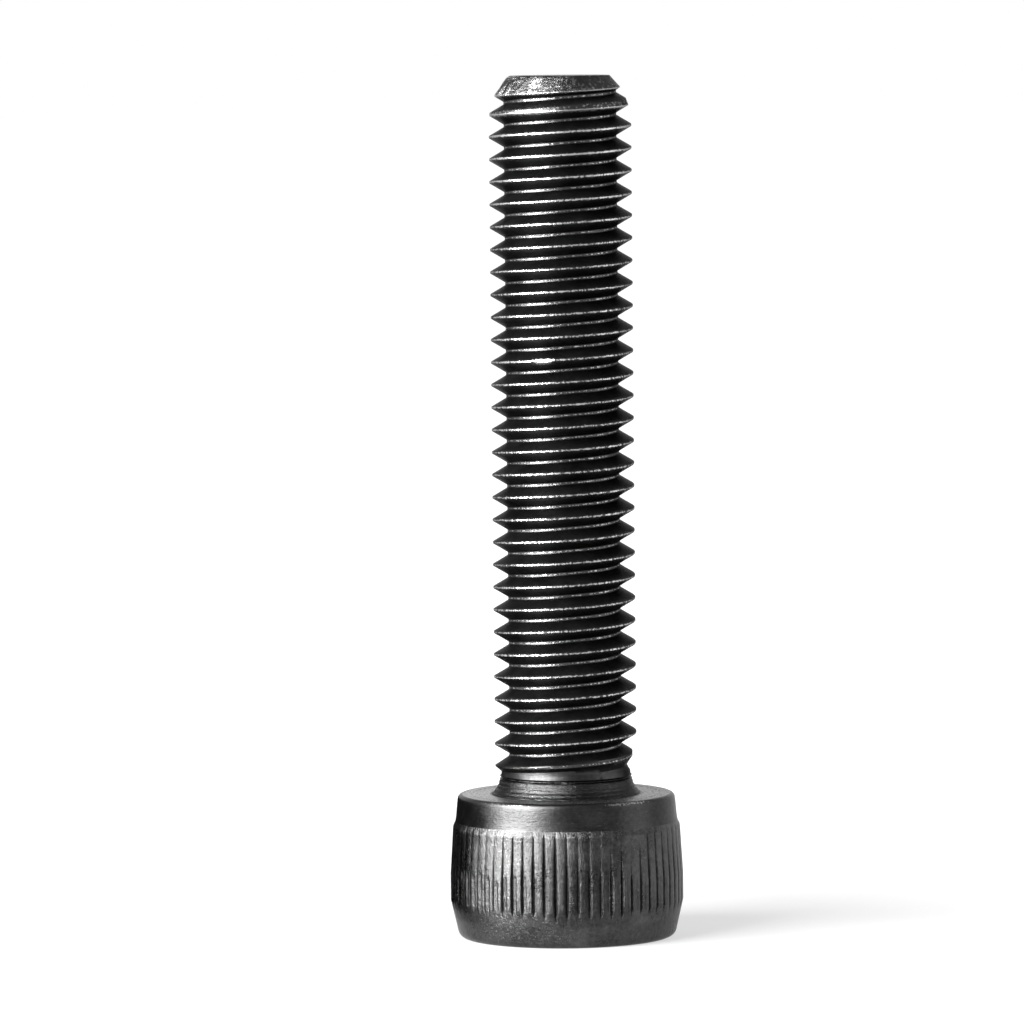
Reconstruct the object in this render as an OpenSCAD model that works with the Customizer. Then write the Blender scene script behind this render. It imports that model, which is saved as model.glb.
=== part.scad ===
// Hex socket cap screw, fully threaded, standing on its head.
// The socket face lies on the floor plane z = 0 and the threaded end points up along +Z.
// The origin is the centre of the socket face. All lengths are in millimetres.

/* [Thread] */
// Outside diameter over the thread crests
thread_d = 7.92; // [7.6:0.02:8.2]
// Distance along the axis from one crest to the next
thread_pitch = 1.25; // [1:0.05:1.5]
// Angle between the two flanks of a groove
flank_angle = 60; // [50:1:70]
// Width of the flat on a crest
crest_flat = 0.12; // [0.05:0.01:0.2]
// Width of the flat at a root
root_flat = 0.16; // [0.05:0.01:0.25]
// Where the thread starts, as a turn about the axis
thread_turn = -62; // [-180:1:180]

/* [Shank] */
// Length from the bearing face to the end of the thread
shank_len = 40; // [16:1:50]
// Diameter of the blank that the thread is rolled on
blank_d = 7.2; // [7:0.05:7.4]
// Length over which the thread rises from the blank to its full depth
runout_len = 1.1; // [0.6:0.1:2.5]
// Diameter of the flat end
end_d = 5.6; // [5:0.05:6.2]
// Length over which the crests round over to the flat end
end_len = 2.7; // [2:0.1:4]

/* [Flare under the head] */
// Diameter of the flare where it meets the bearing face
flare_d = 8.3; // [7.8:0.05:9]
// Height of the flare above the bearing face
flare_h = 1.05; // [0.6:0.05:1.5]
// How far the flare's side sinks in from a straight cone
flare_hollow = 0.1; // [0:0.01:0.15]
// How far the flare's upper edge stands out past the blank
flare_lip = 0.08; // [0.06:0.01:0.12]
// Plain length between the flare and the first rise of the thread
plain_len = 0.1; // [0.1:0.05:0.5]

/* [Head] */
// Height of the head, from the socket face to the bearing face
head_h = 8; // [7:0.1:9]
// Widest diameter of the head, over the knurl
head_d = 12.98; // [12.6:0.02:13.4]
// Diameter of the flat socket face
face_d = 11.3; // [10:0.1:12]
// Radius of the rim round the socket face
rim_round = 0.45; // [0.2:0.05:0.8]
// Height at which the head reaches its widest
wide_from = 2.1; // [1.2:0.1:2.6]
// Height at which the head starts to narrow again
wide_to = 3.6; // [3:0.1:4.4]
// Diameter at the upper end of the knurl
knurl_top_d = 12.66; // [12.5:0.02:12.8]
// Height of the upper end of the knurl
knurl_top = 6.2; // [5:0.1:6.4]
// Height of the sloping step between the knurl and the smooth band
step_h = 0.3; // [0.1:0.05:0.5]
// Diameter of the smooth band at its foot
band_d = 12.4; // [12.2:0.02:12.5]
// Diameter of the smooth band at the bearing face
band_top_d = 12.12; // [11.8:0.02:12.2]
// Radius of the edge round the bearing face
edge_round = 0.2; // [0.1:0.05:0.4]

/* [Knurl] */
// Number of ridges round the head
ridges = 64; // [48:1:80]
// Depth of a groove at the widest part of the head
groove_depth = 0.14; // [0.06:0.01:0.2]
// Angle between the two sides of a groove
groove_angle = 100; // [80:5:120]
// How far the grooves run out short of the smooth band, across the step
groove_end = 0.03; // [0.02:0.01:0.05]

/* [Socket] */
// Width of the socket across its flats
socket_af = 6.1; // [5:0.05:6.6]
// Depth of the socket's straight walls
socket_depth = 4; // [3:0.1:5]
// Depth of the cone below the straight walls
socket_cone = 0.85; // [0.4:0.05:1]
// Diameter of the flat at the socket's bottom
socket_floor_d = 2.5; // [1.5:0.1:3.5]
// Diameter of the countersink at the socket's mouth
mouth_d = 7.9; // [7.7:0.1:9]
// Included angle of the countersink
mouth_angle = 120; // [90:5:140]

/* [Hidden] */
$fn = 96;

// How far one solid runs into or past another where they are joined or cut
overrun = 1;
// Straight pieces that make up one turn of the thread
turn_steps = 30;
// Straight pieces that make up a rounded edge
round_steps = 6;

thread_r = thread_d / 2;
blank_r = blank_d / 2;
flank_w = (thread_pitch - crest_flat - root_flat) / 2;
root_r = thread_r - flank_w / tan(flank_angle / 2);
end_z = head_h + shank_len;
runout_z = head_h + flare_h + plain_len;

// A turn's four edges, from the lower side of the root to the upper side of the crest
edge_rise = [0, root_flat, root_flat + flank_w, root_flat + flank_w + crest_flat];
edge_r = [root_r, root_r, thread_r, thread_r];
edges = len(edge_rise);
thread_low = head_h - thread_pitch;
turns = ceil((end_z - thread_low) / thread_pitch) + 2;
last = turns * turn_steps;

// Share of the full thread depth that is rolled at height z
function rolled(z) = min(1, max(0, (z - runout_z) / runout_len));

// Point on one of the four helical edges, counted in steps from the start of the thread
function edge_point(edge, step) =
    let (z = thread_low + edge_rise[edge] + thread_pitch * step / turn_steps,
         r = blank_r + (edge_r[edge] - blank_r) * rolled(z),
         turn = 360 * step / turn_steps)
    [r * cos(turn), r * sin(turn), z];

function edge_id(edge, step) = edges * step + edge;

// Two triangles between two neighbouring edges, over one step
function strip(lower, lower_step, upper, upper_step) = [
    [edge_id(lower, lower_step), edge_id(upper, upper_step), edge_id(upper, upper_step + 1)],
    [edge_id(lower, lower_step), edge_id(upper, upper_step + 1), edge_id(lower, lower_step + 1)]
];

// Points of an arc about centre, from one angle to another
function arc(centre, r, from, to) = [
    for (i = [0 : round_steps])
        let (a = from + (to - from) * i / round_steps)
        centre + r * [cos(a), sin(a)]
];

// The threaded bar, longer than the shank at both ends
module thread_bar() {
    low_mid = edges * (last + 1);
    high_mid = low_mid + 1;
    top = edges - 1;
    points = [
        for (step = [0 : last], edge = [0 : top]) edge_point(edge, step),
        [0, 0, thread_low],
        [0, 0, thread_low + turns * thread_pitch]
    ];
    faces = [
        for (step = [0 : last - 1], edge = [0 : top - 1]) each strip(edge, step, edge + 1, step),
        for (step = [0 : last - turn_steps - 1]) each strip(top, step, 0, step + turn_steps),
        for (step = [0 : turn_steps - 1]) [low_mid, edge_id(0, step), edge_id(0, step + 1)],
        for (edge = [0 : top - 1]) [low_mid, edge_id(edge + 1, 0), edge_id(edge, 0)],
        [low_mid, edge_id(0, turn_steps), edge_id(top, 0)],
        for (step = [last - turn_steps : last - 1])
            [high_mid, edge_id(top, step + 1), edge_id(top, step)],
        for (edge = [0 : top - 1]) [high_mid, edge_id(edge, last), edge_id(edge + 1, last)],
        [high_mid, edge_id(top, last - turn_steps), edge_id(0, last)]
    ];
    rotate([0, 0, thread_turn]) polyhedron(points, faces);
}

// Radius and height of the rounded end, at a share of its length
function end_point(share) = [
    thread_r - (thread_r - end_d / 2) * share * share,
    end_z - end_len * (1 - share)
];

// The space inside the rounded end and the flat at its top
module end_envelope() {
    wide_r = thread_r + overrun;
    low = thread_low - overrun;
    side = [for (i = [1 : round_steps]) end_point(i / round_steps)];
    // The first straight piece runs on outwards, so that it cuts the crests at a clear angle
    lean = (side[1] - side[0]) / (side[0][0] - side[1][0]);
    lead_in = side[0] - lean * (wide_r - side[0][0]);
    rotate_extrude() polygon(concat(
        [[0, low], [wide_r, low], lead_in],
        side,
        [[0, end_z]]));
}

// The flare that joins the shank to the bearing face
module flare() {
    foot_r = flare_d / 2;
    lip_r = blank_r + flare_lip;
    side = [
        for (i = [0 : round_steps])
            let (t = i / round_steps)
            [foot_r + (lip_r - foot_r) * t - flare_hollow * sin(180 * t), head_h + flare_h * t]
    ];
    rotate_extrude() polygon(concat([[0, head_h - overrun], [foot_r, head_h - overrun]], side,
                                    [[0, head_h + flare_h]]));
}

// The turned head before knurling
module head_blank() {
    face_r = face_d / 2;
    wide_r = head_d / 2;
    rim = [face_r, rim_round];
    // The rim's round ends where the slope up to the widest part touches it
    slope = [wide_r, wide_from] - rim;
    rim_end = atan2(slope[1], slope[0]) - acos(rim_round / norm(slope));
    top_r = band_top_d / 2;
    rotate_extrude() polygon(concat(
        [[0, 0]],
        arc(rim, rim_round, -90, rim_end),
        [[wide_r, wide_from],
         [wide_r, wide_to],
         [knurl_top_d / 2, knurl_top],
         [band_d / 2, knurl_top + step_h]],
        arc([top_r - edge_round, head_h - edge_round], edge_round, 0, 90),
        [[0, head_h]]));
}

// Outline through the groove bottoms, with ridges that reach out past the head's own side
module ridge_outline(bottom_r) {
    half_turn = 180 / ridges;
    peak_r = bottom_r + bottom_r * sin(half_turn) / tan(groove_angle / 2);
    polygon([
        for (i = [0 : 2 * ridges - 1])
            let (r = i % 2 == 0 ? bottom_r : peak_r)
            r * [cos(i * half_turn), sin(i * half_turn)]
    ]);
}

// The space that the knurl leaves: straight grooves that lean in with the head's upper side
module knurl_envelope() {
    low_r = head_d / 2 - groove_depth;
    high_r = band_d / 2 + groove_end;
    lean_h = knurl_top + step_h - wide_to;
    translate([0, 0, -overrun]) linear_extrude(wide_to + overrun) ridge_outline(low_r);
    translate([0, 0, wide_to])
        linear_extrude(lean_h, scale = high_r / low_r) ridge_outline(low_r);
    translate([0, 0, knurl_top + step_h])
        cylinder(d = head_d + overrun, h = head_h - knurl_top - step_h + overrun);
}

// The hexagonal socket with its countersunk mouth and conical bottom
module socket() {
    flat_r = socket_af / 2;
    mouth_r = mouth_d / 2;
    translate([0, 0, -overrun])
        cylinder(r = flat_r / cos(30), h = overrun + socket_depth, $fn = 6);
    rotate_extrude() polygon([
        [0, socket_depth - overrun],
        [flat_r, socket_depth - overrun],
        [flat_r, socket_depth],
        [socket_floor_d / 2, socket_depth + socket_cone],
        [0, socket_depth + socket_cone]
    ]);
    rotate_extrude() polygon([
        [0, -overrun],
        [mouth_r + overrun * tan(mouth_angle / 2), -overrun],
        [0, mouth_r / tan(mouth_angle / 2)]
    ]);
}

module cap_screw() {
    color([0.17, 0.17, 0.18]) difference() {
        union() {
            intersection() {
                head_blank();
                knurl_envelope();
            }
            flare();
            intersection() {
                thread_bar();
                end_envelope();
            }
        }
        socket();
    }
}

cap_screw();
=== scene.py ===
# %% [markdown]
# # Hex socket cap screw
# A black screw stands on its head on a white table, its thread pointing up. The real one starts as
# a steel wire: the head and its socket are forged in dies, the knurl and the thread are rolled, and
# a hot black oxide bath colours it. The lesson builds one closed mesh that stands for the solid in
# the frame, finishes it with worn black oxide, and lights it as the photograph does.

# %% Load the frame
import math
import bpy
import numpy as np
from mathutils import Matrix, Vector


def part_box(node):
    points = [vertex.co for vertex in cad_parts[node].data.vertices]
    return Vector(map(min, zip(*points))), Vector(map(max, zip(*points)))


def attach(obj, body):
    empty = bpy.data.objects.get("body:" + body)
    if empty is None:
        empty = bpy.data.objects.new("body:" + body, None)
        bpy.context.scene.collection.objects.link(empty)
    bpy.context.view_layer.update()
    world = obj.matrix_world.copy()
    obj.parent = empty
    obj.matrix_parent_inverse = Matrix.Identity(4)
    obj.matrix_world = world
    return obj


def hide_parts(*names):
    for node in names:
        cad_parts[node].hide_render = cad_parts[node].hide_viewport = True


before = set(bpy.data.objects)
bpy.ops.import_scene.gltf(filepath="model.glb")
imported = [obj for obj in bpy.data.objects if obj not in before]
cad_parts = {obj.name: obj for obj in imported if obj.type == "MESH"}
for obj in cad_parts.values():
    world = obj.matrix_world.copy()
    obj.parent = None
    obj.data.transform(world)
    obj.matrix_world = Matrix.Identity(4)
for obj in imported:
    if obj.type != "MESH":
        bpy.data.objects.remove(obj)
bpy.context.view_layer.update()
low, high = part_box("cap_screw")
MM = 0.001
screw_mm = [(high[i] - low[i]) / MM for i in range(3)]
print("the solid measures %.2f x %.2f x %.2f mm" % tuple(screw_mm))

# %% [markdown]
# ## The sizes of the screw
# These are the sizes of the solid, in millimetres. The mesh could be cut from the solid itself, but
# its helix is made of flat facets, and a finer surface of the same shape catches the light better.
# The length and the head's width are read from the frame, so the piece stays inside the solid's box.

# %% Sizes
end_z = high[2] / MM
wide_r = screw_mm[0] / 2
head_h = 8.0
thread_r = 3.96
pitch = 1.25
crest_flat = 0.12
root_flat = 0.16
half_thread_angle = math.radians(30)
flank_w = (pitch - crest_flat - root_flat) / 2
root_r = thread_r - flank_w / math.tan(half_thread_angle)
thread_turn = math.radians(-62)
blank_r = 3.6
end_r = 2.8
end_len = 2.7
print("root radius %.3f mm" % root_r)

# %% [markdown]
# ## A mesh made of rings
# A turned part is a stack of rings round one axis. Each stage of this screw needs its own number of
# points round the ring: 144 in the socket, so that each corner of the hexagon gets one, and 768 on
# the knurl, twelve to a ridge. So a small class keeps the points, faces and finish numbers. It joins
# rings of one count with four-sided faces, and any other two by walking round both at once. That
# keeps the whole screw one closed skin, as it is one piece of steel.

# %% Ring mesh
class RingMesh:
    """Collects points with their wear, and faces with the number of their finish."""

    def __init__(self):
        self.points, self.wear_and_painted_light = [], []
        self.faces, self.finish = [], []
        self.last = []

    def ring(self, xyz, wear_and_painted_light=0.0):
        """Adds a ring of points and returns their numbers."""
        first = len(self.points)
        self.points.extend(map(tuple, xyz))
        self.wear_and_painted_light.extend(np.broadcast_to(wear_and_painted_light, len(xyz)).tolist())
        self.last = list(range(first, first + len(xyz)))
        return self.last

    def grow(self, xyz, finish, wear_and_painted_light=0.0):
        """Adds a ring and joins it to the last one."""
        below = self.last
        above = self.ring(xyz, wear_and_painted_light)
        join = self.join if len(below) == len(above) else self.stitch
        join(below, above, finish)

    def face(self, corners, finish):
        """Adds one face."""
        self.faces.append(tuple(corners))
        self.finish.append(finish)

    def join(self, below, above, finish):
        """Joins two rings that have the same count, with four-sided faces."""
        count = len(below)
        for i in range(count):
            k = (i + 1) % count
            self.face((below[i], below[k], above[k], above[i]), finish)

    def by_angle(self, ring):
        """A ring's points and their angles, from the lowest angle round to it again."""
        angles = [math.atan2(self.points[i][1], self.points[i][0]) for i in ring]
        start = int(np.argmin(angles))
        ring = ring[start:] + ring[:start + 1]
        return ring, angles[start:] + angles[:start] + [angles[start] + 2 * math.pi]

    def stitch(self, below, above, finish):
        """Joins two rings of different counts with triangles, in order of angle."""
        a, at_a = self.by_angle(below)
        b, at_b = self.by_angle(above)
        i = k = 0
        while i < len(a) - 1 or k < len(b) - 1:
            if k == len(b) - 1 or (i < len(a) - 1 and at_a[i + 1] <= at_b[k + 1]):
                self.face((a[i], a[i + 1], b[k]), finish)
                i += 1
            else:
                self.face((a[i], b[k + 1], b[k]), finish)
                k += 1

    def cap(self, ring, centre, finish, upward):
        """Closes a ring with a fan round its centre."""
        middle = len(self.points)
        self.points.append(centre)
        self.wear_and_painted_light.append(0.0)
        for i in range(len(ring)):
            k = (i + 1) % len(ring)
            self.face((ring[i], ring[k], middle) if upward else (ring[k], ring[i], middle), finish)


def circle(count):
    """Angles evenly round a ring."""
    return np.arange(count) * 2 * math.pi / count


def level(angles, r, z):
    """Points at radius r and height z, either of which may change round the ring."""
    r, z = np.broadcast_to(r, len(angles)), np.broadcast_to(z, len(angles))
    return np.stack([r * np.cos(angles), r * np.sin(angles), z], 1)


def wave(angles, seed, counts, size):
    """A smooth uneven line round the axis, from a few waves with seeded phases."""
    draw = np.random.default_rng(seed)
    out = np.zeros(len(angles))
    for count in counts:
        out += draw.normal() * np.sin(count * angles + draw.uniform(0, 2 * math.pi))
    return size * out / math.sqrt(len(counts))


mesh = RingMesh()
# The number of each finish, which every face is given
HEX, TURNED, KNURLED, ROLLED, NECK, FACED, END = range(7)
print("points on the knurl lie %.3f mm apart" % (wide_r * circle(768)[1]))

# %% [markdown]
# ## The hexagonal socket
# A six-sided punch presses the socket in, and leaves a shallow cone with a small flat at the
# bottom. A hexagon could be a six-sided cylinder, but its corners have to meet the round cone and
# the round countersink. So each ring is worked out from a formula: the distance to a hexagon's side
# at each angle, and the cone's own height there. It starts at the flat and goes down to the mouth.

# %% Socket
socket_af = 6.1
socket_depth = 4.0
socket_cone = 0.85
floor_r = 1.25
mouth_r = 3.95
mouth_slope = math.tan(math.radians(30))
corner_round = 0.06
foot_w, foot_h = 0.15, 0.12
wall_middle = 2.2
mouth_w, mouth_h = 0.1, 0.35
hex_steps = circle(144)


def hex_r(across):
    """The hexagon's radius, with its corners a little rounded by the punch."""
    sharp = across / 2 / np.cos((hex_steps % (math.pi / 3)) - math.pi / 6)
    return np.minimum(sharp, across / 2 / math.cos(math.pi / 6) - corner_round)


cone_end = socket_depth + socket_cone
cone_rise = socket_cone / (socket_af / 2 - floor_r)
cone_foot_r = hex_r(socket_af - 2 * foot_w)
wall_r = hex_r(socket_af)
lip_r = hex_r(socket_af + 2 * mouth_w)
countersink_z = np.maximum((mouth_r - wall_r) * mouth_slope, 0.0)

floor_ring = mesh.ring(level(hex_steps, floor_r, cone_end))
for share in (0.25, 0.5, 0.75, 1.0):
    r = floor_r + (cone_foot_r - floor_r) * share
    mesh.grow(level(hex_steps, r, cone_end - cone_rise * (r - floor_r)), HEX)
for r, z in ((wall_r, socket_depth - foot_h), (wall_r, wall_middle), (wall_r, countersink_z + mouth_h),
             (lip_r, (mouth_r - lip_r) * mouth_slope)):
    mesh.grow(level(hex_steps, r, z), HEX)
mesh.cap(floor_ring, (0, 0, cone_end), HEX, upward=False)
print("socket: %d faces" % len(mesh.faces))

# %% [markdown]
# ## The numerals
# The flat ring round the socket carries the strength class that every such screw has, 12.9, pressed
# in as plain numerals. They could be text objects cut with a boolean, which leaves long thin faces.
# Here each one is a few lines, in millimetres right of and above its own middle.

# %% Numerals
marks_r = 4.95
marks_up = math.radians(67)
bowl_r, bowl_up = 0.36, 0.28
bowl = [(bowl_r * math.cos(a), bowl_up + bowl_r * math.sin(a)) for a in np.arange(11) * 0.63]
# Each numeral's turn about the axis in degrees, its radius and its lines
numerals = [
    (-36.5, marks_r, [[(0, -0.62), (0.02, 0.62), (-0.18, 0.45)]]),
    (-19.4, marks_r, [[(-0.38, 0.3), (-0.25, 0.56), (0.05, 0.64), (0.33, 0.5), (0.38, 0.22),
                       (0.2, -0.08), (-0.4, -0.6), (0.42, -0.6)]]),
    (-5.5, marks_r + 0.2, [[(0, -0.38), (0.02, -0.38)]]),
    (8.9, marks_r, [bowl, [(bowl_r, bowl_up), (0.3, -0.3), (0.0, -0.62)]]),
]
strokes = []
for turn, r, lines in numerals:
    angle = marks_up + math.pi + math.radians(turn)
    outward = np.array([math.cos(angle), math.sin(angle)])
    right = np.array([-outward[1], outward[0]])
    for line in lines:
        # They read from below, where x runs right and y runs down, so y changes its sign
        ends = [(outward * r + right * x - outward * y) * (1, -1) for x, y in line]
        strokes += zip(ends, ends[1:])
print("numerals: %d strokes" % len(strokes))

# %% [markdown]
# ## The socket face
# A stamp presses the numerals in, deepest along the middle of each stroke. So every point of a fine
# polar grid goes in by its distance to the nearest stroke, and the mesh stays whole. The grid is
# finer on the side that has the numerals.

# %% Socket face
face_r = 5.65
stamp_depth = 0.11
# Distance from a stroke's middle to the edge of its flat bottom, and to the edge of its side
stroke_flat, stroke_edge = 0.08, 0.22
marks_spread = math.radians(34)
marks_middle = -(marks_up + math.pi + math.radians(-14))
fine = marks_middle + np.linspace(-marks_spread, marks_spread, 150, endpoint=False)
coarse = marks_middle + np.linspace(marks_spread, 2 * math.pi - marks_spread, 120, endpoint=False)
face_steps = np.concatenate([fine, coarse])


def stamped(xy):
    """How far each point of the face is pressed in."""
    near = np.full(len(xy), face_r)
    for a, b in strokes:
        along = np.clip(((xy - a) @ (b - a)) / ((b - a) @ (b - a)), 0, 1)
        near = np.minimum(near, np.linalg.norm(xy - a - along[:, None] * (b - a), axis=1))
    edge = np.clip((stroke_edge - near) / (stroke_edge - stroke_flat), 0, 1)
    return stamp_depth * edge * edge * (3 - 2 * edge)


mouth_uneven = wave(face_steps, 3, (3, 5, 9, 17), 0.015)
mesh.grow(level(face_steps, mouth_r + mouth_uneven, 0.0), TURNED)
grid_from, grid_to, grid_rings = 4.12, 5.6, 24
for r in np.linspace(grid_from, grid_to, grid_rings):
    xyz = level(face_steps, r, 0.0)
    xyz[:, 2] = stamped(xyz[:, :2])
    mesh.grow(xyz, KNURLED)
print("with the socket face: %d faces" % len(mesh.faces))

# %% [markdown]
# ## The turned head
# The head isn't a plain cylinder: it is widest a little above the socket face, and narrows towards
# the bearing face. A lathe profile with a screw modifier would draw it, but the knurl has to be cut
# in ring by ring, so the profile is a list of rings and a function of height.

# %% Head profile
wide_from, wide_to = 2.1, 3.6
knurl_top, knurl_top_r = 6.2, 6.33
step_h = 0.3
band_low_r, band_top_r = 6.2, 6.06
edge_round = 0.27
rim_round = 0.45


def head_r(z):
    """Radius of the turned head before knurling, above its rim."""
    return np.interp(z, [wide_from, wide_to, knurl_top, knurl_top + step_h, head_h - edge_round],
                     [wide_r, wide_r, knurl_top_r, band_low_r, band_top_r])


# The rim's round ends where the slope up to the widest part touches it
slope = np.array([wide_r - face_r, wide_from - rim_round])
rim_end = math.atan2(slope[1], slope[0]) - math.acos(rim_round / np.linalg.norm(slope))
head_profile = [(face_r + rim_round * math.cos(a), rim_round + rim_round * math.sin(a))
                for a in np.linspace(-math.pi / 2, rim_end, 6)]
foot = np.array(head_profile[-1])
widest = np.array([wide_r, wide_from])
head_profile += [tuple(foot + (widest - foot) * t) for t in np.linspace(0.2, 0.9, 7)]
# Rings lie closer where the lower grooves end, and over the step
side_z = np.concatenate([[2.1, 2.5, 3.0, 3.4], np.linspace(3.5, 4.1, 7), [4.6, 5.1, 5.6, 5.9, 6.1, 6.2],
                         [6.26, 6.32, 6.38, 6.44, 6.5]])
head_profile += [(float(head_r(z)), z) for z in side_z]
print("head profile: %d rings" % len(head_profile))

# %% [markdown]
# ## The knurl's grooves
# A hardened wheel rolls straight ridges into the head for a fingertip grip. On this screw it ran
# twice, a little out of step, so the lower half has a second, shallower set. A bump texture could
# fake them, but the ridges show in the outline, so they are real: at each angle the radius is the
# smaller of the turned head and the bottom of the nearest groove.

# %% Knurl grooves
knurl_steps = circle(768)
ridges = 64
second_ridges = 68
groove_depth = 0.15
groove_round = 0.025
groove_uneven = 0.035
groove_end = 0.03
# Tangents of half the angle between a groove's two sides
groove_side = math.tan(math.radians(40))
second_side = math.tan(math.radians(54))
second_share = 0.8
second_turn = math.radians(0.1)
second_front = math.radians(258)
second_lift = 0.12
second_fade, second_fade_len = 0.15, 0.35
land_round = 0.032


def groove(count, side, depth_share, seed, turn):
    """Height above the groove bottoms, round the head, for a set of straight grooves."""
    cell = 2 * math.pi / count
    place = (knurl_steps + turn) / cell
    number = np.round(place).astype(int) % count
    off = np.abs(place - np.round(place)) * cell * wide_r
    draw = np.random.default_rng(seed)
    shallow = draw.uniform(0, groove_uneven, count)[number]
    rise = np.hypot(off / side, groove_round) - groove_round
    return rise + shallow + groove_depth * (1 - depth_share)


def round_head(angles, turns_deg, values):
    """A value that changes smoothly round the head, from a few given at angles in degrees."""
    return np.interp(np.degrees(angles) % 360, turns_deg, values)


# The camera sees the head from 270 degrees, and 180 degrees is on its left. The wheel pressed
# deepest at the front, and least on the left side.
lifted = round_head(knurl_steps, [0, 60, 120, 180, 222, 242, 275, 330, 360],
                    [0.03, 0.01, 0.03, 0.09, 0.09, 0.01, 0.0, 0.03, 0.03])
upper_lifted = round_head(knurl_steps, [0, 50, 90, 262, 280, 302, 318, 360],
                          [0, 0.03, 0, 0, 0.05, 0.05, 0, 0])
first_cut = groove(ridges, groove_side, 1.0, 11, 0.0) + lifted
second_cut = groove(second_ridges, second_side, second_share, 12, second_turn)
second_cut = second_cut + second_lift * (1 - np.cos(knurl_steps - second_front))

# The second grooves end at uneven heights. The lands between the first ones are a little crowned.
second_top = 3.75
second_number = np.round(knurl_steps / (2 * math.pi / second_ridges)).astype(int) % second_ridges
second_end = second_top + np.random.default_rng(13).uniform(-0.25, 0.3, second_ridges)[second_number]
in_ridges = knurl_steps * ridges / (2 * math.pi)
from_land = 0.5 - np.abs(in_ridges - np.round(in_ridges))
land_drop = land_round * (2 * from_land) ** 2
print("a ridge is %.2f mm wide" % (2 * math.pi * wide_r / ridges))

# %% [markdown]
# ## The knurled head
# Fingers rub the oxide off the ridges first, and the grooves keep it. The shader could guess this from
# the shape, but the wear of the real head is uneven. So each point carries a number for its wear, which
# the finish reads later: the higher it is, the paler the oxide and the more steel shows, and below
# nought the oxide stays at its darkest. Round the head this number also carries painted light: the
# lands and the step are paler where the softboxes' reflections fall, a painted highlight, and the lands
# are darker near 208 and 280 degrees, a painted shade.

# %% Knurled head
groove_worn, rim_worn = -0.65, 0.1
knurl_foot = 1.3
# Heights between which the crown of the lands sets in, and the lift of the upper grooves
crown_from, crown_full = 1.4, 2.0
upper_from, upper_full = 3.7, 4.4
# A point less than this below the turned surface is on land, which sets in over the second number
land_from, land_reach = 0.06, 0.03
cut_again_loss = 0.08
# Lands paler near 236 and from 306 to 322 degrees are painted highlights where the softboxes'
# reflections fall. Below nought near 208 and 280 degrees is painted shade.
land_wear_and_painted_light = round_head(
    knurl_steps,
    [0, 60, 130, 180, 208, 222, 236, 254, 264, 280, 296, 306, 322, 340, 360],
    [0.12, 0.2, 0.1, 0.1, -0.4, 0.08, 0.4, 0.2, -0.06, -0.2, 0.0, 0.28, 0.25, 0.1, 0.12])
# The step is paler from 226 to 246 degrees: a painted highlight where the left softbox's reflection
# falls, over a little real wear.
step_wear_and_painted_highlight = round_head(knurl_steps, [0, 90, 214, 226, 246, 256, 360],
                       [0.1, 0.2, 0.08, 0.35, 0.35, 0.05, 0.1])


def knurled(turned_r, z):
    """Radius round the head at height z after both cuts, and how much of the land is left there."""
    step_end = knurl_top + step_h
    bottom = np.interp(z, [wide_to, step_end], [wide_r - groove_depth, band_low_r + groove_end])
    crowned = float(np.interp(z, [crown_from, crown_full, knurl_top, step_end], [0, 1, 1, 0]))
    above = float(np.interp(z, [upper_from, upper_full], [0, 1]))
    first = np.minimum(turned_r - land_drop * crowned, bottom + first_cut + upper_lifted * above)
    second = bottom + second_cut + second_fade * np.clip((z - second_end) / second_fade_len, 0, 1)
    on_land = np.clip((first - turned_r + land_from) / land_reach, 0, 1)
    cut_again = np.clip((first - second) / land_from, 0, 1)
    return np.minimum(first, second), on_land * (1 - cut_again_loss * cut_again)


for r, z in head_profile:
    side_r, on_land = knurled(r, z)
    wear_and_painted_light = groove_worn + (land_wear_and_painted_light - groove_worn) * on_land
    if z <= knurl_foot:
        wear_and_painted_light = rim_worn
    if z > knurl_top - 0.05:
        wear_and_painted_light = step_wear_and_painted_highlight
    mesh.grow(level(knurl_steps, side_r, z), KNURLED, wear_and_painted_light)
print("with the knurl: %d faces" % len(mesh.faces))

# %% [markdown]
# ## The turned band, the bearing face and the flare
# Above the knurl a lathe tool leaves a smooth band and a flat face with faint rings. The face is
# what clamps, so on the real screw it is flat to a few hundredths. Its rings are low enough to be
# real here: waves of two hundredths of a millimetre, which still show at a low angle. A flare with
# tool marks of its own leads up to the shank, where a crack would start at a sharp corner.

# %% Profile from the band to the shank
flare_foot_r = 4.15
flare_h = 1.05
flare_lip = 0.08
flare_hollow = 0.1
flare_lip_h = 0.2
mark_depth, mark_pitch = 0.012, 0.4
deep_mark_r, deep_mark_w, deep_mark_depth = 5.24, 0.06, 0.03
face_low_r, face_high_r = 4.2, 5.8

band_profile = [(6.19, 6.56), (6.15, 6.8), (6.12, 7.2), (6.08, 7.6)]
for a in np.linspace(0, math.pi / 2, 6):
    band_profile.append((band_top_r - edge_round + edge_round * math.cos(a),
                         head_h - edge_round + edge_round * math.sin(a)))
for r in np.linspace(face_high_r, face_low_r, 21):
    deep = deep_mark_depth if abs(r - deep_mark_r) < deep_mark_w else 0.0
    rings = mark_depth * math.cos(2 * math.pi * (r - face_low_r) / mark_pitch)
    band_profile.append((r, head_h - mark_depth + rings - deep))
flare_top_r = blank_r + flare_lip
for share in np.linspace(0, 1, 20):
    r = flare_foot_r + (flare_top_r - flare_foot_r) * share - flare_hollow * math.sin(math.pi * share)
    band_profile.append((r, head_h + (flare_h - flare_lip_h) * share))
# A narrow groove runs under the lip, which is a little rounded
band_profile += [(blank_r - 0.03, head_h + flare_h - 0.13), (blank_r - 0.02, head_h + flare_h - 0.1),
                 (blank_r + 0.07, head_h + flare_h - 0.06), (blank_r + 0.08, head_h + flare_h - 0.03)]
print("band, bearing face and flare: %d rings" % len(band_profile))

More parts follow.
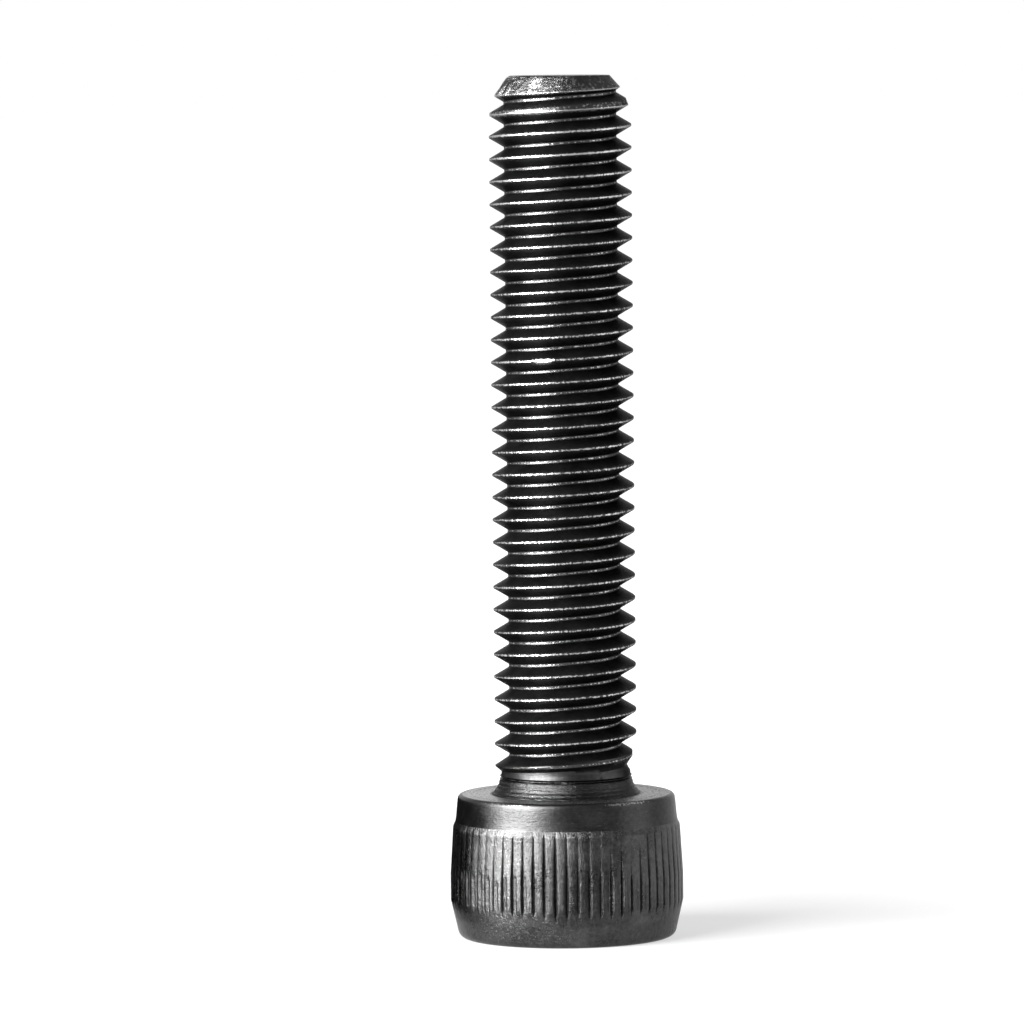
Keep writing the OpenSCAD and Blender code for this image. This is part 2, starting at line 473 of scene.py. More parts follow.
# %% [markdown]
# ## Their rings and their wear
# No turned surface is perfectly round, so each ring sways by a few thousandths of a millimetre, which
# breaks up a reflection that would look drawn with a ruler. The edge round the bearing face is rubbed
# bright in places, which is partly real wear and partly a painted highlight where the softboxes'
# reflections fall. The face itself is pale all round from wear, and paler on the left and at the back,
# a painted highlight.

# %% Band, bearing face and flare
band_steps = circle(256)
neck_mark, neck_mark_pitch = 0.016, 0.21
# How far below and inside the head's edge its wear has its middle, and how far it reaches
edge_down, edge_in, edge_reach = 0.1, 0.08, 0.12
edge_least, edge_more = 0.12, 0.72
# Where the head's edge is rubbed bright, with painted highlights from 226 to 246 and 295 to 314 degrees
# where the softboxes' reflections fall, and how pale the bearing face is round the head, with a painted
# highlight on its left
edge_wear_and_painted_highlight = round_head(band_steps, [0, 40, 70, 130, 160, 214, 226, 246, 256, 286, 295, 314, 324, 360],
                         [0.3, 0.6, 0.2, 0.6, 0.3, 0.0, 0.6, 0.65, 0.0, 0.0, 0.85, 0.85, 0.0, 0.3])
face_wear_and_painted_highlight = round_head(band_steps, [0, 45, 90, 150, 235, 255, 300, 360],
                         [0.5, 0.6, 0.7, 0.68, 0.68, 0.6, 0.5, 0.5])
# The groove under the lip is filled with oxide at the front
groove_fill = 0.04 * np.exp(-((band_steps - math.radians(271)) / math.radians(9)) ** 2)

for r, z in band_profile:
    sway = wave(band_steps, int(z * 1000), (2, 5, 11, 23), 0.004)
    if z > head_h + 0.02:
        sway = sway + neck_mark * math.sin(2 * math.pi * z / neck_mark_pitch)
    if r < blank_r:
        sway = sway + groove_fill
    on_face = face_low_r + 0.05 < r < face_high_r + 0.05 and abs(z - head_h) < 0.06
    at_edge = (math.exp(-((z - head_h + edge_down) / edge_reach) ** 2)
               * math.exp(-((r - band_top_r + edge_in) / edge_reach) ** 2))
    wear_and_painted_light = np.maximum(at_edge * (edge_least + edge_more * edge_wear_and_painted_highlight), face_wear_and_painted_highlight if on_face else 0.0)
    finish = NECK if z > head_h + 0.01 else FACED if r < face_high_r + 0.01 else TURNED
    mesh.grow(level(band_steps, np.minimum(r + sway, band_low_r), z), finish, wear_and_painted_light)
neck_ring = mesh.last
print("with the flare: %d faces" % len(mesh.faces))

# %% [markdown]
# ## The rolled thread
# Two dies roll the thread: they press the grooves in and squeeze the steel up into crests. Turning
# a profile with a screw modifier is the usual way, but it can't fade the thread out at the neck or
# round it off at the end. So the surface is one sheet of columns. Each column holds the same
# profile, shifted up by its share of a turn, and the last column meets the first one pitch higher.

# %% Thread sheet
thread_columns = 144
thread_low_z = head_h + flare_h
turns = int(math.ceil((end_z - thread_low_z) / pitch)) + 2
runout_len, crest_runout_len = 1.1, 0.45
plain_len = 0.1
round_flank, round_crest, lip_w = 0.02, 0.015, 0.07
depth = thread_r - root_r


def end_limit(angle, z):
    """Radius of the rounded end at height z, a little uneven round the axis."""
    share = np.clip((z - end_z + end_len) / end_len, 0, 1)
    uneven = wave(angle.ravel(), 7, (2, 5, 9, 14, 23), 0.012).reshape(angle.shape)
    return thread_r - (thread_r - end_r) * share ** 2 + uneven


def cut_share(angle, start_z, side):
    """Share of the thread's depth that the rounded end leaves on a flank, found in a few steps."""
    share = np.ones(start_z.shape)
    for _ in range(5):
        rise = root_flat + flank_w * share if side == "lower" else pitch - flank_w * share
        share = np.clip((end_limit(angle, start_z + rise) - root_r) / depth, 0.06, 1)
    return share


columns = circle(thread_columns)
start_z = (head_h - pitch + pitch * np.arange(turns + 1)[:, None]
           + pitch * (columns - thread_turn)[None, :] / (2 * math.pi))
all_turns = np.broadcast_to(columns, start_z.shape)
lower, upper = cut_share(all_turns, start_z, "lower"), cut_share(all_turns, start_z, "upper")
lower_edge, upper_edge = root_flat + flank_w * lower, pitch - flank_w * upper
lip_share = lip_w / (upper_edge - lower_edge)
nothing = np.zeros(start_z.shape)
# One turn's points, as the rise above its start and the share of the thread's depth. Its flanks have
# points at plain shares of their width, and one just short of each crest edge, which rounds it.
turn_points = [
    (nothing, nothing + 0.02),
    (nothing + root_flat / 2, nothing),
    (nothing + root_flat, nothing + 0.02),
    (root_flat + 0.5 * flank_w * lower, 0.5 * lower),
    (lower_edge - round_flank * lower, 0.96 * lower),
    (lower_edge + round_crest, lower),
    (lower_edge + lip_w, lower + (upper - lower) * lip_share),
    (upper_edge - round_crest, upper),
    (upper_edge + round_flank * upper, 0.96 * upper),
    (pitch - 0.80 * flank_w * upper, 0.80 * upper),
    (pitch - 0.42 * flank_w * upper, 0.42 * upper),
]
samples = len(turn_points)
ROOT, CREST_FOOT, CREST_LOW, CREST_LIP, CREST_HIGH, CREST_END, UPPER_FLANK = 1, 4, 5, 6, 7, 8, 9
rows = turns * samples + 1
z = start_z[:, None, :] + np.stack([rise for rise, _ in turn_points], 1)
z = z.reshape(-1, thread_columns)[:rows]
share = np.stack([part for _, part in turn_points], 1).reshape(-1, thread_columns)[:rows]
cut = np.repeat(np.minimum(lower, upper), samples, axis=0)[:rows]
angle = np.broadcast_to(columns, z.shape)
sample = (np.arange(rows) % samples)[:, None]
on_crest = np.where((sample >= CREST_FOOT) & (sample <= CREST_END), 1.0, 0.0)
print("thread sheet: %d rows, %.3f mm deep" % (rows, depth))

# %% [markdown]
# ## The crests
# Crests are the first thing to be hurt: they carry nicks, and this screw has a few larger marks
# that the camera sees. A displacement texture would blur their sharp edges, so each mark changes
# the radius of the sheet itself, by a formula in angle and height.

# %% Crests
dent_waves, dent_size = 12, 0.0112
nicks = 90
nick_low_z, nick_h = 9.5, 0.35
nick_depths, nick_widths = (0.02, 0.06), (0.08, 0.22)


def rolled(z):
    """Share of the thread's depth that is rolled at height z."""
    return np.clip((z - thread_low_z - plain_len) / runout_len, 0, 1)


def away_from(angle, middle):
    """The shorter turn from the middle to an angle, in radians."""
    return (angle - middle + math.pi) % (2 * math.pi) - math.pi


def crest_dents(angle, z, seed):
    """Small dents along the crests: a smooth unevenness and a few deeper nicks."""
    draw = np.random.default_rng(seed)
    along = angle + 2 * math.pi * np.floor(z / pitch)
    dent = np.zeros(z.shape)
    for _ in range(dent_waves):
        count = draw.uniform(3, 40)
        dent += draw.normal() * np.sin(count * along + draw.uniform(0, 6.28))
    dent = dent_size * np.abs(dent / math.sqrt(dent_waves))
    for _ in range(nicks):
        at_angle, at_z = draw.uniform(0, 2 * math.pi), draw.uniform(nick_low_z, end_z)
        away = away_from(angle, at_angle) * thread_r
        nick_depth = draw.uniform(*nick_depths)
        nick_w = draw.uniform(*nick_widths)
        dent += nick_depth * np.exp(-(away / nick_w) ** 2 - ((z - at_z) / nick_h) ** 2)
    return dent


full_r = root_r + (thread_r - root_r) * share
full_r = full_r - crest_dents(angle, z, 5) * on_crest
crest_rise = np.clip((z - thread_low_z - plain_len) / crest_runout_len, 0, 1)
r = blank_r + (full_r - blank_r) * np.where(full_r > blank_r, crest_rise, rolled(z))

# On the right of the first turn the crest stayed low and blunt, with a lap along its middle
lap_at, lap_reach = math.radians(345), math.radians(62)
lap_top, lap_fade = 10.75, 0.3
lap_low, lap_groove = 0.25, 0.035
lap = np.exp(-(away_from(angle, lap_at) / lap_reach) ** 2) * np.clip((lap_top - z) / lap_fade, 0, 1)
r = np.minimum(r, thread_r - lap_low * lap - lap_groove * lap * (sample == CREST_LIP))
limit = end_limit(angle, z)
r = np.minimum(r, limit)

# One crest at the front was knocked flat
knock_at, knock_reach = math.radians(254), math.radians(6.5)
knock_z, knock_h, knock_depth = 32.3, 0.4, 0.08
knock = np.exp(-((angle - knock_at) / knock_reach) ** 4) * np.exp(-((z - knock_z) / knock_h) ** 8)
r = np.minimum(r, thread_r - knock_depth * knock)

# A burr hangs over the last groove on the left
burr_at, burr_reach = math.radians(200), math.radians(17)
burr_z, burr_h, burr_out = 46.95, 0.18, 0.16
burr = np.exp(-((angle - burr_at) / burr_reach) ** 4) * np.exp(-((z - burr_z) / burr_h) ** 2)
burr = burr * (0.65 + 0.35 * np.sin(29 * angle))
r = r + burr_out * burr
print("crests reach a radius of %.2f mm" % r.max())

# %% [markdown]
# ## Wear on the thread
# A nut and the die polish the crests, so they shine as thin bright lines, and so does the floor of each
# groove, more faintly. Where the rounded end cuts the crests down to wider lands, the wear is raised
# along their lower edge, a painted highlight, and lowered above it. The rounded end itself is rubbed in
# patches, and is paler near 243 degrees, a painted highlight where the left softbox's reflection falls.

# %% Thread wear
# Wear of a sharp crest from its foot upwards, and what a wide land adds to it or takes from it: more
# along the land's lower edge, a painted highlight, and less above it
crest_wear_and_painted_highlight = {CREST_FOOT: (0.4, 0.45), CREST_LOW: (0.7, 0.5),
              CREST_LIP: (0.95, -0.5), CREST_HIGH: (0.6, -0.2)}
crest_end_wear = 0.4
land_cut = 0.12
root_wear, upper_flank_wear = 0.55, 0.16
# The crests are brighter near the end
shank_share, end_extra = 0.68, 0.2
brighter_from, brighter_over = 38, 6
end_wear, painted_highlight_wear, hurt_wear = 0.2, 0.22, 1.2
painted_highlight_at, painted_highlight_reach = math.radians(243), math.radians(12)
end_from = end_z - 1.3

land = np.clip((1 - cut) / land_cut, 0, 1)
crest_worn_and_painted_highlight = np.select([sample == place for place in crest_wear_and_painted_highlight],
                       [sharp + change * land for sharp, change in crest_wear_and_painted_highlight.values()], crest_end_wear)
near_end = np.clip((z - brighter_from) / brighter_over, 0, 1)
wear_and_painted_light = on_crest * crest_worn_and_painted_highlight * rolled(z) * (shank_share + end_extra * near_end)
wear_and_painted_light = np.where(sample == ROOT, root_wear * rolled(z), wear_and_painted_light)
wear_and_painted_light = np.where(sample == UPPER_FLANK, upper_flank_wear * rolled(z), wear_and_painted_light)
end_wear_and_painted_highlight = end_wear + wave(angle.ravel(), 9, (4, 7, 11, 18), 0.08).reshape(angle.shape)
# The rounded end is paler near 243 degrees: a painted highlight where the left softbox's reflection
# falls.
end_wear_and_painted_highlight = end_wear_and_painted_highlight + painted_highlight_wear * np.exp(-((angle - painted_highlight_at) / painted_highlight_reach) ** 2)
on_end = (z > end_from) & (r >= limit - 0.002)
wear_and_painted_light = np.where(on_end, np.maximum(wear_and_painted_light, end_wear_and_painted_highlight), wear_and_painted_light)
wear_and_painted_light = np.maximum(wear_and_painted_light, np.maximum(hurt_wear * burr, hurt_wear * knock * on_crest))
print("%d points lie on the rounded end" % on_end.sum())

# %% [markdown]
# ## The thread's surface
# The sheet is cut level at both ends: points past an end are left out, and the columns there close
# on a ring. Each column is walked upwards beside the next one, and where one of them has no point,
# the face has three corners in place of four.

# %% Thread surface
bottom_z, top_z = thread_low_z, end_z - 0.06
clear_of_cut = 0.02
number = np.full(z.shape, -1)
end_points = set()
for column in range(thread_columns):
    inside = (z[:, column] > bottom_z + clear_of_cut) & (z[:, column] < top_z - clear_of_cut)
    a = angle[0, column]
    for row in np.nonzero(inside)[0]:
        number[row, column] = len(mesh.points)
        if on_end[row, column]:
            end_points.add(len(mesh.points))
        mesh.points.append((r[row, column] * math.cos(a), r[row, column] * math.sin(a), z[row, column]))
        mesh.wear_and_painted_light.append(float(wear_and_painted_light[row, column]))


def column_ids(column, shift):
    """A column's point numbers by row, where shift lifts the first column by a turn."""
    ids = number[:, column % thread_columns]
    return {row - shift: int(n) for row, n in enumerate(ids) if n >= 0}


bottom_ring = mesh.ring(level(columns, blank_r + 0.01, bottom_z))
end_edge = np.abs(wave(columns, 21, (3, 7, 12, 19, 31), 0.045))
top_ring = mesh.ring(level(columns, end_r - 0.03 - end_edge, top_z - 0.5 * end_edge), end_wear)
end_points.update(top_ring)
for column in range(thread_columns):
    here = column_ids(column, 0)
    there = column_ids(column + 1, samples if column == thread_columns - 1 else 0)
    left, right = bottom_ring[column], bottom_ring[(column + 1) % thread_columns]
    for row in range(min(min(here), min(there)), max(max(here), max(there)) + 1):
        next_left, next_right = here.get(row, left), there.get(row, right)
        corners = [left, right, next_right, next_left]
        corners = [c for i, c in enumerate(corners) if c != corners[i - 1]]
        if len(corners) >= 3:
            mesh.face(corners, END if end_points.issuperset(corners) else ROLLED)
        left, right = next_left, next_right
    mesh.face((left, right, top_ring[(column + 1) % thread_columns], top_ring[column]), END)
mesh.stitch(neck_ring, bottom_ring, NECK)

# The flat end has a few rings of its own, which keep its shading even up to the edge
for r in (end_r - 0.2, end_r - 0.4, 1.2):
    mesh.grow(level(columns, r, top_z), TURNED, end_wear)
mesh.cap(mesh.last, (0, 0, top_z), TURNED, upward=True)
print("the whole screw: %d points, %d faces" % (len(mesh.points), len(mesh.faces)))

# %% [markdown]
# ## Make the mesh
# The lists become one mesh in metres. Smooth shading with sharp edges kept where the surface turns
# by more than 40 degrees gives crisp thread edges and a soft barrel, as rolled and turned steel has.

# %% Mesh object
sharp_angle = math.radians(40)
data = bpy.data.meshes.new("screw")
data.from_pydata([tuple(c * MM for c in p) for p in mesh.points], [], mesh.faces)
data.validate()
screw = bpy.data.objects.new("cap_screw_body", data)
bpy.context.scene.collection.objects.link(screw)
# The wear number of each point, which round the head, on the wide lands and at the rounded end also
# carries painted highlights and painted shade.
wear_and_painted_light_layer = data.attributes.new("wear_and_painted_light", "FLOAT", "POINT")
wear_and_painted_light_layer.data.foreach_set("value", mesh.wear_and_painted_light)
data.polygons.foreach_set("use_smooth", [True] * len(data.polygons))
data.set_sharp_from_angle(angle=sharp_angle)
triangles = sum(len(p.vertices) - 2 for p in data.polygons)
print("triangles: %d" % triangles)

# %% [markdown]
# ## Helpers for the finishes
# Colours are given as the hex values that a paint card or a screen shows, and one function turns
# them into the linear values that the shader needs. A second one adds a node, sets it and links it.

# %% Finish helpers
def linear(hex_colour):
    """Turns an sRGB hex colour into linear RGBA."""
    parts = [int(hex_colour[i:i + 2], 16) / 255 for i in (1, 3, 5)]
    return tuple(c / 12.92 if c <= 0.04045 else ((c + 0.055) / 1.055) ** 2.4 for c in parts) + (1.0,)


def add(tree, kind, inputs=None, **settings):
    """Adds a node, sets its properties, and gives each named input a value or another node's socket."""
    node = tree.nodes.new("ShaderNode" + kind)
    for name, value in settings.items():
        setattr(node, name, value)
    for name, value in (inputs or {}).items():
        if isinstance(value, bpy.types.NodeSocket):
            tree.links.new(value, node.inputs[name])
        else:
            node.inputs[name].default_value = value
    return node


def per_mm(size):
    """Noise scale that gives features of a real size in millimetres."""
    return 1.0 / (size * MM)


# The oxide's darkest and palest shade: over rolled or forged steel, over steel that a tool left
# smooth, and in the rough skin of the knurl
COAT_HEXES = ("#2f2f2f", "#484848")
SMOOTH_COAT_HEXES = ("#292929", "#424242")
ROUGH_COAT_HEXES = ("#1c1c1c", "#525252")
STEEL_HEX = "#c2c2c2"
print("bare steel is %.2f in linear light" % linear(STEEL_HEX)[0])

# %% [markdown]
# ## Black oxide on steel
# Hot black oxide turns the steel's own skin into magnetite about a thousandth of a millimetre thick,
# so every tool mark below it still shows. It is sealed with oil, and the eye sees a near-black
# satin that only mirrors strong light, with bright steel where it has rubbed off. It could be a
# dark plastic-like coat over the steel, but such a thin oxide still mirrors as a metal does, so the
# shader is a dark metal. The finishes differ in what the steel went through first, so one function
# builds them all from real sizes.

# %% Black oxide
# The oxide is cloudy over a millimetre or two, and mottled over a fifth of one, where it took
# unevenly. Its crystals are about a thousandth of a millimetre, too fine to show.
CLOUD_MM = 1.6
MOTTLE_MM = 0.22
STEEL_ROUGH = 0.3
# How far a rub's ragged edge strays, as a share of the wear
RAGGED = 0.35
# The grain's highest tips are rubbed bare
TIP_FROM, TIP_TO = 0.64, 0.74


def black_oxide(name, coat_hexes, coat_rough, stretch, grain_mm, grain_depth_mm, rub_mm, rub, tips,
                edge_tint):
    """Black oxide over steel with a grain of the given size, rubbed through where the mesh says so."""
    material = bpy.data.materials.new(name)
    material.use_nodes = True
    tree = material.node_tree
    tree.nodes.clear()

    # The steel's grain, stretched the way that the tool ran, and the oxide's clouds and mottle
    place = add(tree, "TexCoord").outputs["Object"]
    along = add(tree, "VectorMath", {0: place, 1: stretch}, operation="MULTIPLY").outputs[0]
    grain = add(tree, "TexNoise", {"Vector": along, "Scale": per_mm(grain_mm), "Detail": 3.0,
                                   "Roughness": 0.7}).outputs["Fac"]
    clouds = add(tree, "TexNoise", {"Vector": place, "Scale": per_mm(CLOUD_MM), "Detail": 4.0,
                                    "Roughness": 0.65}).outputs["Fac"]
    mottle = add(tree, "TexNoise", {"Vector": place, "Scale": per_mm(MOTTLE_MM), "Detail": 4.0,
                                    "Roughness": 0.75}).outputs["Fac"]

    # Bare steel, where the wear and a ragged noise together pass the rub's threshold
    ragged = add(tree, "TexNoise", {"Vector": place, "Scale": per_mm(rub_mm), "Detail": 3.0,
                                    "Roughness": 0.7}).outputs["Fac"]
    # Each point's wear number: partly real wear, partly painted highlights and painted shade.
    wear_and_painted_light = add(tree, "Attribute", attribute_name="wear_and_painted_light").outputs["Fac"]
    push = add(tree, "MapRange", {"Value": ragged, "From Min": 0.3, "From Max": 0.7, "To Min": -RAGGED,
                                  "To Max": RAGGED}).outputs["Result"]
    rubbed = add(tree, "Math", {0: wear_and_painted_light, 1: push}, operation="ADD").outputs[0]
    bare = add(tree, "MapRange", {"Value": rubbed, "From Min": rub[0],
                                  "From Max": rub[1]}).outputs["Result"]
    speck = add(tree, "MapRange", {"Value": grain, "From Min": TIP_FROM, "From Max": TIP_TO,
                                   "To Min": 0.0, "To Max": tips}).outputs["Result"]
    bright = add(tree, "Math", {0: bare, 1: speck}, operation="MAXIMUM").outputs[0]

    # The colour runs from the dark oxide to the pale one, and on to steel
    blend = add(tree, "Math", {0: mottle, 1: clouds, 2: -0.5}, operation="ADD").outputs[0]
    spread = add(tree, "MapRange", {"Value": blend, "From Min": 0.6, "From Max": 1.4}).outputs["Result"]
    shade = add(tree, "Math", {0: spread, 1: wear_and_painted_light}, operation="ADD", use_clamp=True).outputs[0]
    coat = add(tree, "Mix", {0: shade, 6: linear(coat_hexes[0]), 7: linear(coat_hexes[1])},
               data_type="RGBA").outputs[2]
    colour = add(tree, "Mix", {0: bright, 6: coat, 7: linear(STEEL_HEX)}, data_type="RGBA").outputs[2]

    # Oil lies unevenly, so the gloss changes with the clouds
    coat_gloss = add(tree, "MapRange", {"Value": clouds, "From Min": 0.3, "From Max": 0.7,
                                        "To Min": coat_rough - 0.02,
                                        "To Max": coat_rough + 0.04}).outputs["Result"]
    rough = add(tree, "Mix", {0: bright, 2: coat_gloss, 3: STEEL_ROUGH}).outputs[0]
    pits = add(tree, "Math", {0: grain, 1: mottle}, operation="ADD").outputs[0]
    bump = add(tree, "Bump", {"Height": pits, "Distance": grain_depth_mm * MM, "Strength": 1.0})
    # Bare metal mirrors fully at a grazing angle. An oxide skin does less, which the edge tint gives.
    shader = add(tree, "BsdfPrincipled", {"Base Color": colour, "Roughness": rough, "Metallic": 1.0,
                                          "Specular Tint": (edge_tint, edge_tint, edge_tint, 1.0),
                                          "Normal": bump.outputs["Normal"]})
    add(tree, "OutputMaterial", {"Surface": shader.outputs["BSDF"]})
    print("finish: " + name)
    return material


# %% [markdown]
# ## The seven finishes
# Each finish is the oxide over one kind of steel surface. Grain on a real screw is a few hundredths
# of a millimetre. A pixel of the picture is about twice that, so it is drawn about a tenth of a
# millimetre wide, as coarse as it needs to show, and stretched where a tool or a die drew it out.
# The rub is the wear at which the first steel shows, and the wear at which the oxide is gone.

# %% Finishes
finishes = {
    # Drawn lengthwise by the punch, and sheltered: a dull black
    HEX: black_oxide("black oxide on forged socket", COAT_HEXES, coat_rough=0.38, stretch=(1, 1, 0.3),
                     grain_mm=0.10, grain_depth_mm=0.006, rub_mm=0.16, rub=(0.8, 1.05), tips=0.1,
                     edge_tint=0.5),
    # Fine lines round the axis from the lathe tool: a clean sheen across the band
    TURNED: black_oxide("black oxide on turned steel", SMOOTH_COAT_HEXES, coat_rough=0.30,
                        stretch=(0.2, 0.2, 1), grain_mm=0.10, grain_depth_mm=0.016, rub_mm=0.10,
                        rub=(0.5, 0.8), tips=0.1, edge_tint=0.8),
    # Torn lengthwise by the wheel: a rough skin that breaks the light into sparks
    KNURLED: black_oxide("black oxide on knurled steel", ROUGH_COAT_HEXES, coat_rough=0.28,
                         stretch=(1.2, 1.2, 0.5), grain_mm=0.10, grain_depth_mm=0.038, rub_mm=0.10,
                         rub=(0.5, 0.9), tips=0.15, edge_tint=0.9),
    # Burnished by the dies along the helix: deep black flanks and bright crests
    ROLLED: black_oxide("black oxide on rolled thread", COAT_HEXES, coat_rough=0.34,
                        stretch=(0.3, 0.3, 1), grain_mm=0.09, grain_depth_mm=0.014, rub_mm=0.14,
                        rub=(0.48, 0.64), tips=0.08, edge_tint=0.35),
    # Forged and then skimmed: glossy, with marks round the axis
    NECK: black_oxide("black oxide on forged neck", SMOOTH_COAT_HEXES, coat_rough=0.24,
                      stretch=(0.5, 0.5, 1), grain_mm=0.12, grain_depth_mm=0.045, rub_mm=0.14,
                      rub=(0.6, 0.9), tips=0.2, edge_tint=0.5),
    # Faced, and then polished by what it clamped: the palest part of the screw
    FACED: black_oxide("black oxide on faced steel", COAT_HEXES, coat_rough=0.30, stretch=(1, 1, 1),
                       grain_mm=0.14, grain_depth_mm=0.030, rub_mm=0.14, rub=(0.4, 0.8), tips=0.3,
                       edge_tint=0.9),
    # Cropped from the wire and rolled over: coarse, with large bare patches
    END: black_oxide("black oxide on cut end", COAT_HEXES, coat_rough=0.28, stretch=(0.5, 0.5, 1),
                     grain_mm=0.13, grain_depth_mm=0.050, rub_mm=0.22, rub=(0.42, 0.95), tips=0.2,
                     edge_tint=0.5),
}
for finish in sorted(finishes):
    data.materials.append(finishes[finish])
data.polygons.foreach_set("material_index", mesh.finish)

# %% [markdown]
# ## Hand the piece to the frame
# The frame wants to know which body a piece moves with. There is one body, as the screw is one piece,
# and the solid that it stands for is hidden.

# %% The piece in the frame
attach(screw, "root")
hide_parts("cap_screw")
print("the piece is in the frame: " + screw.name)

# %% [markdown]
# ## The floor
# The screw stands on matt white paper that the photograph shows as pure white, but for the screw's soft
# shadow. Light alone would need to be so strong that the screw would turn grey. So the paper also
# glows: nearly white to the camera, and half as much to everything else, as the screw mirrors it darker
# than the camera sees it. Within 80 mm of the screw the camera's glow is lower, a painted shade all
# round it, which lets the real soft shadow show and deepens it.

# %% Floor
floor_half = 3.0
paper_hex = "#757575"
painted_shade_from, painted_shade_to = 20 * MM, 80 * MM
glow_near, glow_far = 0.62, 0.95
glow_mirrored = 0.5


def white_floor():
    """A wide white floor that glows for the camera, less so close to the screw as painted shade, where
    its real soft shadow also falls.
    """
    plane = bpy.data.meshes.new("floor")
    half = floor_half
    corners = [(-half, -half, 0), (half, -half, 0), (half, half, 0), (-half, half, 0)]
    plane.from_pydata(corners, [], [(0, 1, 2, 3)])
    floor = bpy.data.objects.new("white_floor", plane)
    bpy.context.scene.collection.objects.link(floor)
    paint = bpy.data.materials.new("matt white paper")
    paint.use_nodes = True
    tree = paint.node_tree
    shader = tree.nodes["Principled BSDF"]
    shader.inputs["Base Color"].default_value = linear(paper_hex)
    shader.inputs["Roughness"].default_value = 0.9
    shader.inputs["Specular IOR Level"].default_value = 0.2
    shader.inputs["Emission Color"].default_value = (1, 1, 1, 1)
    seen = add(tree, "LightPath").outputs["Is Camera Ray"]
    place = add(tree, "TexCoord").outputs["Object"]
    away = add(tree, "VectorMath", {0: place}, operation="LENGTH").outputs["Value"]
    # Painted shade: the camera's glow is lower within 80 mm of the screw, which deepens its real soft
    # shadow.
    glow_with_painted_shade = add(tree, "MapRange", {"Value": away, "From Min": painted_shade_from, "From Max": painted_shade_to,
                                   "To Min": glow_near, "To Max": glow_far}).outputs["Result"]
    glow = add(tree, "Mix", {0: seen, 2: glow_mirrored, 3: glow_with_painted_shade}).outputs[0]
    tree.links.new(glow, shader.inputs["Emission Strength"])
    plane.materials.append(paint)


white_floor()
print("floor: %.0f m square" % (2 * floor_half))

# %% [markdown]
# ## The softboxes
# A black screw is only as visible as what it mirrors, so a light's place and width decide the
# picture more than the finish. One large softbox on the left draws the bright streak down the
# screw. A second, faint one on the right only lifts that side out of the dark.

# %% Softboxes
def softbox(name, turn_deg, rise_deg, distance, width, height, radiance):
    """A rectangular light that faces the screw, placed by its angle left of the camera's side."""
    light = bpy.data.lights.new(name, "AREA")
    light.shape = "RECTANGLE"
    light.size, light.size_y = width, height
    light.energy = radiance * math.pi * width * height
    lamp = bpy.data.objects.new(name, light)
    bpy.context.scene.collection.objects.link(lamp)
    turn, rise = math.radians(turn_deg), math.radians(rise_deg)
    half_way_up = Vector((0, 0, 24 * MM))
    place = Vector((-math.sin(turn) * math.cos(rise), -math.cos(turn) * math.cos(rise), math.sin(rise)))
    lamp.location = half_way_up + place * distance
    lamp.rotation_euler = (-place).to_track_quat("-Z", "Y").to_euler()
    print("%s: %.1f W" % (name, light.energy))


softbox("key_softbox", turn_deg=54, rise_deg=22, distance=0.50, width=0.42, height=0.50, radiance=30.0)
softbox("fill_softbox", turn_deg=-80, rise_deg=12, distance=0.60, width=0.40, height=0.40, radiance=1.6)

# %% [markdown]
# ## The white studio
# The photograph is a product shot on a white sweep, dimmer towards the photographer. An even white
# world would flatten the screw, so the world is white to the camera, and what the screw mirrors
# darkens towards the front and overhead.

# %% White studio
front_level, back_level = 0.32, 1.0
ceiling_from, ceiling_to, ceiling_level = 0.1, 0.8, 0.6


def white_studio():
    """A world that is white to the camera, and dimmer in front of the screw than behind it."""
    world = bpy.data.worlds.new("white studio")
    world.use_nodes = True
    tree = world.node_tree
    tree.nodes.clear()
    direction = add(tree, "TexCoord").outputs["Generated"]
    parts = add(tree, "SeparateXYZ", {0: direction}).outputs
    wall = add(tree, "MapRange", {"Value": parts["Y"], "From Min": -1.0, "From Max": 1.0,
                                  "To Min": front_level, "To Max": back_level}).outputs["Result"]
    ceiling = add(tree, "MapRange", {"Value": parts["Z"], "From Min": ceiling_from,
                                     "From Max": ceiling_to, "To Min": 1.0,
                                     "To Max": ceiling_level}).outputs["Result"]
    mirrored = add(tree, "Math", {0: wall, 1: ceiling}, operation="MULTIPLY").outputs[0]
    seen = add(tree, "LightPath").outputs["Is Camera Ray"]
    strength = add(tree, "Mix", {0: seen, 2: mirrored, 3: 1.0}).outputs[0]
    sky = add(tree, "Background", {"Color": (1, 1, 1, 1), "Strength": strength})
    add(tree, "OutputWorld", {"Surface": sky.outputs["Background"]})
    bpy.context.scene.world = world


white_studio()
bpy.context.scene.view_settings.view_transform = "Standard"
print("the studio is %.2f as bright in front as behind" % (front_level / back_level))

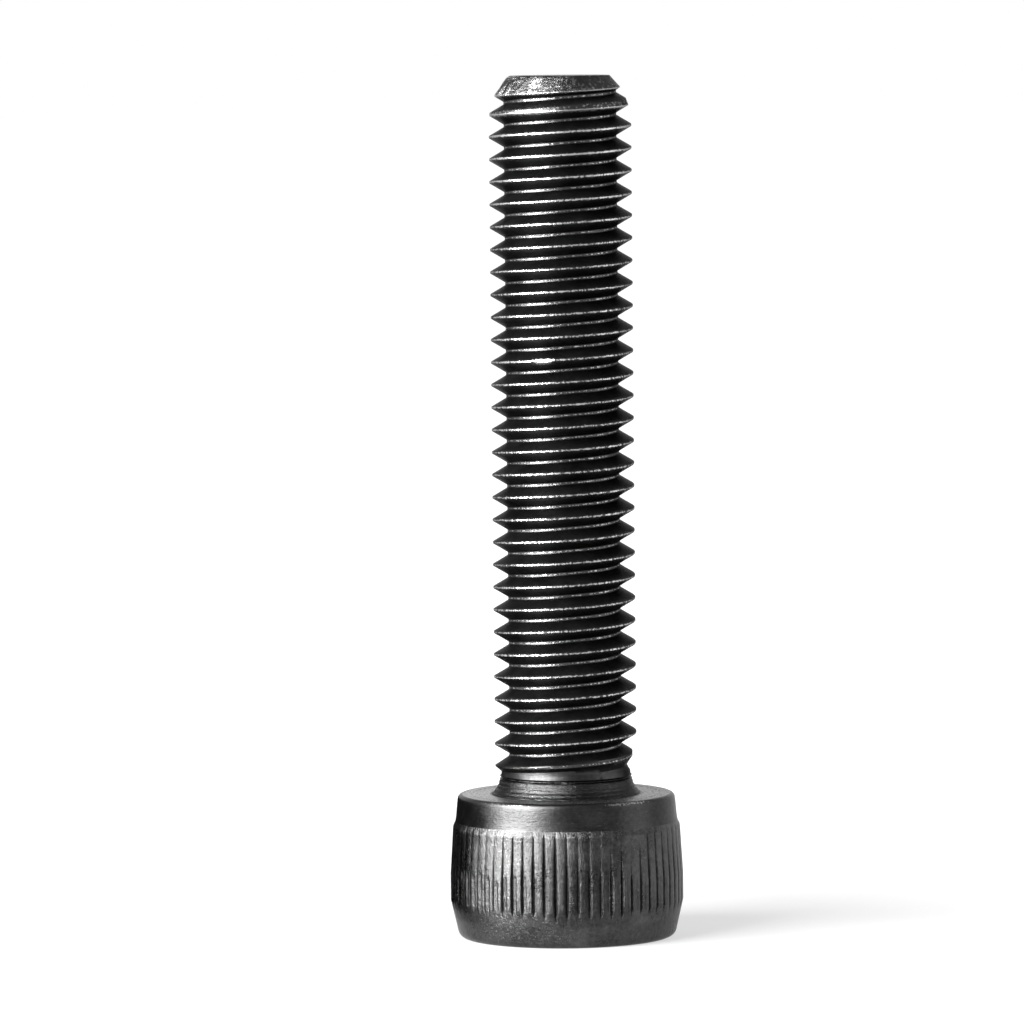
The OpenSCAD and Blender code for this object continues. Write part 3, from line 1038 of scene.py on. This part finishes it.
# %% [markdown]
# ## The black card
# Photographers stand a black card beside a shiny thing, to draw a dark line down its edge. Here a
# low one stands close on the left of the head. The camera doesn't see it, and it throws no shadow:
# it only shows as a reflection.

# %% Black card
card_x = -9 * MM
card_front, card_back = -4.5 * MM, 90 * MM
card_foot, card_top = 0.1 * MM, 8.8 * MM
card_hex = "#0b0b0b"


def black_card():
    """A low black card close on the left of the head, which shows only as a reflection."""
    sheet = bpy.data.meshes.new("card")
    corners = [(card_x, card_front, card_foot), (card_x, card_back, card_foot),
               (card_x, card_back, card_top), (card_x, card_front, card_top)]
    sheet.from_pydata(corners, [], [(0, 1, 2, 3)])
    card = bpy.data.objects.new("black_card", sheet)
    bpy.context.scene.collection.objects.link(card)
    card.visible_camera = False
    card.visible_shadow = False
    card.visible_diffuse = False
    stock = bpy.data.materials.new("black card stock")
    stock.use_nodes = True
    shader = stock.node_tree.nodes["Principled BSDF"]
    shader.inputs["Base Color"].default_value = linear(card_hex)
    shader.inputs["Roughness"].default_value = 0.9
    shader.inputs["Specular IOR Level"].default_value = 0.0
    sheet.materials.append(stock)


black_card()
print("black card: %.1f mm high" % ((card_top - card_foot) / MM))

# %% [markdown]
# ## Camera
# The photograph was taken with a long lens, a little above the table and looking slightly down. Its
# distance and height come from how the ellipses of the head open, and its small roll from the lean
# of the screw's axis.

# %% Camera
image_px = 1024
camera_far = 400 * MM
camera_high = 51.9 * MM
focal_px = 7211
tilt_down = 4.03
roll_deg = -0.56
axis_px_right = 51.7
sensor_mm = 36.0

lens = bpy.data.cameras.new("camera")
lens.sensor_width = sensor_mm
lens.lens = focal_px / image_px * sensor_mm
camera = bpy.data.objects.new("camera", lens)
bpy.context.scene.collection.objects.link(camera)
camera.location = (0, -camera_far, camera_high)
pan = math.atan2(axis_px_right, focal_px)
look = (Matrix.Rotation(pan, 3, "Z") @ Matrix.Rotation(math.radians(90 - tilt_down), 3, "X")
        @ Matrix.Rotation(math.radians(roll_deg), 3, "Z"))
camera.rotation_euler = look.to_euler()
bpy.context.scene.camera = camera
print("lens %.1f mm" % lens.lens)
